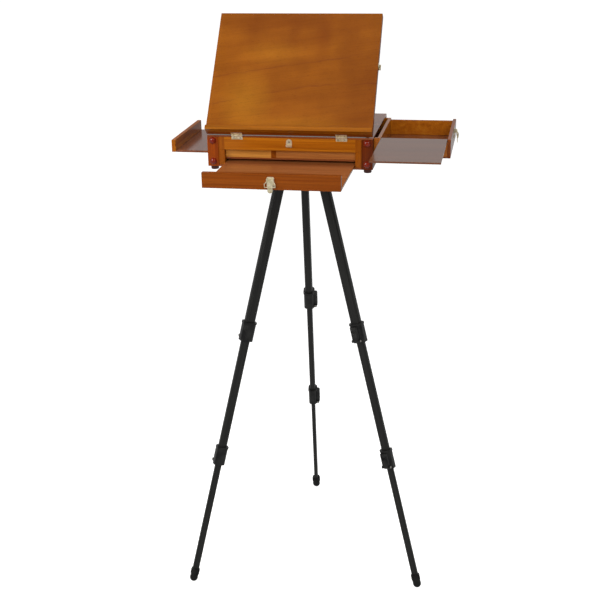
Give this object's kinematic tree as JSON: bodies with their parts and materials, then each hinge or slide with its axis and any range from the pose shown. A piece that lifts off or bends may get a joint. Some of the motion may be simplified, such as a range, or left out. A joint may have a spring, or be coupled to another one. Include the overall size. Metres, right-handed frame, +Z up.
{
  "type": "artist easel",
  "caption": "Wooden sketch-box easel on a folding tripod, with a tilting canvas lid, a sliding front tray, a side shelf, and a side drawer with a fold-out palette.",
  "frame": {"origin": "bottom centre of the whole easel as it stands open, level with the soles of its three rubber feet", "axes": "+Z up; -Y towards the painter, where the canvas faces; +X to the right, where the drawer slides out"},
  "size_m": [0.6888, 0.7668, 1.5048],
  "materials": {
    "varnished_wood": "reddish brown, gloss varnish, straight grain",
    "grained_panel": "gloss varnish over broad dark streaks",
    "thin_plywood": "gloss varnish, fine grain",
    "palette_wood": "gloss varnish, flat and smooth",
    "steel_rod": "plain bright steel",
    "plug_wood": "glossy turned buttons",
    "brass_plate": "pale brass plating, polished",
    "hub_plastic": "black moulded nylon",
    "clamp_plastic": "black moulded, slightly satin",
    "leg_metal": "black anodised aluminium tube",
    "foot_rubber": "matt black rubber"
  },
  "bodies": {
    "sketch_box": {"top_board": "varnished_wood", "bottom_board": "varnished_wood", "mid_board": "varnished_wood", "back_board": "varnished_wood", "front_frame": "varnished_wood", "side_boards": "varnished_wood", "corner_posts": "varnished_wood", "compartment_walls": "varnished_wood", "button_plugs": "plug_wood", "box_feet": "foot_rubber", "front_catch": "brass_plate", "hinge_lower_leaves": "brass_plate", "prop_racks": "varnished_wood", "tripod_hub": "hub_plastic", "hip_pins": "steel_rod", "mounting_screw": "hub_plastic"},
    "lid": {"lid_panel": "grained_panel", "lid_frame": "varnished_wood", "canvas_ledge": "varnished_wood", "hinge_upper_leaves": "brass_plate", "lid_side_catch": "brass_plate"},
    "prop": {"prop_frame": "steel_rod"},
    "tray": {"tray_floor": "thin_plywood", "tray_fascia": "varnished_wood", "tray_latch_plate": "brass_plate"},
    "tray_lever": {"tray_latch_lever": "brass_plate"},
    "tray_loop": {"tray_latch_loop": "brass_plate"},
    "shelf": {"shelf_floor": "thin_plywood", "shelf_wall": "varnished_wood"},
    "drawer": {"drawer_floor": "thin_plywood", "drawer_walls": "varnished_wood", "drawer_fascia": "varnished_wood", "drawer_latch_plate": "brass_plate"},
    "drawer_lever": {"drawer_latch_lever": "brass_plate"},
    "drawer_loop": {"drawer_latch_loop": "brass_plate"},
    "palette_leaf": {"palette": "palette_wood"},
    "left_leg_upper": {"left_leg_upper_tube": "leg_metal", "left_leg_upper_clamp": "clamp_plastic"},
    "left_leg_upper_flip": {"left_leg_upper_lever": "clamp_plastic"},
    "left_leg_middle": {"left_leg_middle_tube": "leg_metal", "left_leg_lower_clamp": "clamp_plastic"},
    "left_leg_lower_flip": {"left_leg_lower_lever": "clamp_plastic"},
    "left_leg_lower": {"left_leg_lower_tube": "leg_metal", "left_leg_rubber_foot": "foot_rubber"},
    "right_leg_upper": {"right_leg_upper_tube": "leg_metal", "right_leg_upper_clamp": "clamp_plastic"},
    "right_leg_upper_flip": {"right_leg_upper_lever": "clamp_plastic"},
    "right_leg_middle": {"right_leg_middle_tube": "leg_metal", "right_leg_lower_clamp": "clamp_plastic"},
    "right_leg_lower_flip": {"right_leg_lower_lever": "clamp_plastic"},
    "right_leg_lower": {"right_leg_lower_tube": "leg_metal", "right_leg_rubber_foot": "foot_rubber"},
    "rear_leg_upper": {"rear_leg_upper_tube": "leg_metal", "rear_leg_upper_clamp": "clamp_plastic"},
    "rear_leg_upper_flip": {"rear_leg_upper_lever": "clamp_plastic"},
    "rear_leg_middle": {"rear_leg_middle_tube": "leg_metal", "rear_leg_lower_clamp": "clamp_plastic"},
    "rear_leg_lower_flip": {"rear_leg_lower_lever": "clamp_plastic"},
    "rear_leg_lower": {"rear_leg_lower_tube": "leg_metal", "rear_leg_rubber_foot": "foot_rubber"}
  },
  "joints": [
    {"name": "lid_tilt", "type": "hinge", "parent": "sketch_box", "child": "lid", "pos_m": [-0.04635, -0.15304, 1.24128], "axis": [1, 0, 0], "range_deg": [-51, 9]},
    {"name": "prop_swing", "type": "hinge", "parent": "lid", "child": "prop", "pos_m": [-0.04635, -0.06882, 1.35323], "axis": [1, 0, 0], "range_deg": [-18, 102]},
    {"name": "tray_slide", "type": "slide", "parent": "sketch_box", "child": "tray", "axis": [0, -1, 0], "range_m": [-0.222, 0.02]},
    {"name": "tray_lever_turn", "type": "hinge", "parent": "tray", "child": "tray_lever", "pos_m": [-0.04635, -0.37714, 1.19288], "axis": [-1, 0, 0], "range_deg": [0, 120]},
    {"name": "tray_loop_turn", "type": "hinge", "parent": "tray_lever", "child": "tray_loop", "pos_m": [-0.04635, -0.37934, 1.18858], "axis": [-1, 0, 0], "range_deg": [0, 60]},
    {"name": "shelf_slide", "type": "slide", "parent": "sketch_box", "child": "shelf", "axis": [-1, 0, 0], "range_m": [-0.098, 0.02]},
    {"name": "drawer_slide", "type": "slide", "parent": "sketch_box", "child": "drawer", "axis": [1, 0, 0], "range_m": [-0.014, 0.02]},
    {"name": "drawer_lever_turn", "type": "hinge", "parent": "drawer", "child": "drawer_lever", "pos_m": [0.33805, 0.03326, 1.22388], "axis": [0, -1, 0], "range_deg": [0, 120]},
    {"name": "drawer_loop_turn", "type": "hinge", "parent": "drawer_lever", "child": "drawer_loop", "pos_m": [0.34025, 0.03326, 1.21958], "axis": [0, -1, 0], "range_deg": [0, 60]},
    {"name": "palette_fold", "type": "hinge", "parent": "drawer", "child": "palette_leaf", "pos_m": [0.24715, -0.11874, 1.23373], "axis": [-1, 0, 0], "range_deg": [0, 180]},
    {"name": "left_leg_fold", "type": "hinge", "parent": "sketch_box", "child": "left_leg_upper", "pos_m": [-0.09246, -0.01325, 1.11988], "axis": [0.5878, -0.809, 0], "range_deg": [0, 15]},
    {"name": "left_leg_upper_flip_turn", "type": "hinge", "parent": "left_leg_upper", "child": "left_leg_upper_flip", "pos_m": [-0.19607, -0.06658, 0.69005], "axis": [-0.7815, -0.5678, 0.2588], "range_deg": [0, 100]},
    {"name": "left_leg_lower_flip_turn", "type": "hinge", "parent": "left_leg_middle", "child": "left_leg_lower_flip", "pos_m": [-0.26876, -0.12242, 0.34811], "axis": [-0.7815, -0.5678, 0.2588], "range_deg": [0, 100]},
    {"name": "left_leg_middle_slide", "type": "slide", "parent": "left_leg_upper", "child": "left_leg_middle", "axis": [0.2094, 0.1521, 0.9659], "range_m": [0, 0.28]},
    {"name": "left_leg_lower_slide", "type": "slide", "parent": "left_leg_middle", "child": "left_leg_lower", "axis": [0.2094, 0.1521, 0.9659], "range_m": [0, 0.29]},
    {"name": "right_leg_fold", "type": "hinge", "parent": "sketch_box", "child": "right_leg_upper", "pos_m": [0.00572, -0.00293, 1.11988], "axis": [0.4067, 0.9135, 0], "range_deg": [0, 15]},
    {"name": "right_leg_upper_flip_turn", "type": "hinge", "parent": "right_leg_upper", "child": "right_leg_upper_flip", "pos_m": [0.10372, -0.06599, 0.69005], "axis": [0.8824, -0.3929, 0.2588], "range_deg": [0, 100]},
    {"name": "right_leg_lower_flip_turn", "type": "hinge", "parent": "right_leg_middle", "child": "right_leg_lower_flip", "pos_m": [0.18842, -0.10101, 0.34811], "axis": [0.8824, -0.3929, 0.2588], "range_deg": [0, 100]},
    {"name": "right_leg_middle_slide", "type": "slide", "parent": "right_leg_upper", "child": "right_leg_middle", "axis": [-0.2364, 0.1053, 0.9659], "range_m": [0, 0.28]},
    {"name": "right_leg_lower_slide", "type": "slide", "parent": "right_leg_middle", "child": "right_leg_lower", "axis": [-0.2364, 0.1053, 0.9659], "range_m": [0, 0.29]},
    {"name": "rear_leg_fold", "type": "hinge", "parent": "sketch_box", "child": "rear_leg_upper", "pos_m": [-0.05231, 0.07695, 1.11988], "axis": [-0.9945, -0.1045, 0], "range_deg": [0, 15]},
    {"name": "rear_leg_upper_flip_turn", "type": "hinge", "parent": "rear_leg_upper", "child": "rear_leg_upper_flip", "pos_m": [-0.04669, 0.19334, 0.69005], "axis": [-0.101, 0.9606, 0.2588], "range_deg": [0, 100]},
    {"name": "rear_leg_lower_flip_turn", "type": "hinge", "parent": "rear_leg_middle", "child": "rear_leg_lower_flip", "pos_m": [-0.05871, 0.28421, 0.34811], "axis": [-0.101, 0.9606, 0.2588], "range_deg": [0, 100]},
    {"name": "rear_leg_middle_slide", "type": "slide", "parent": "rear_leg_upper", "child": "rear_leg_middle", "axis": [0.0271, -0.2574, 0.9659], "range_m": [0, 0.28]},
    {"name": "rear_leg_lower_slide", "type": "slide", "parent": "rear_leg_middle", "child": "rear_leg_lower", "axis": [0.0271, -0.2574, 0.9659], "range_m": [0, 0.29]}
  ],
  "couplings": [
    {"joint": "prop_swing", "follows": "lid_tilt", "ratio": -2}
  ]
}
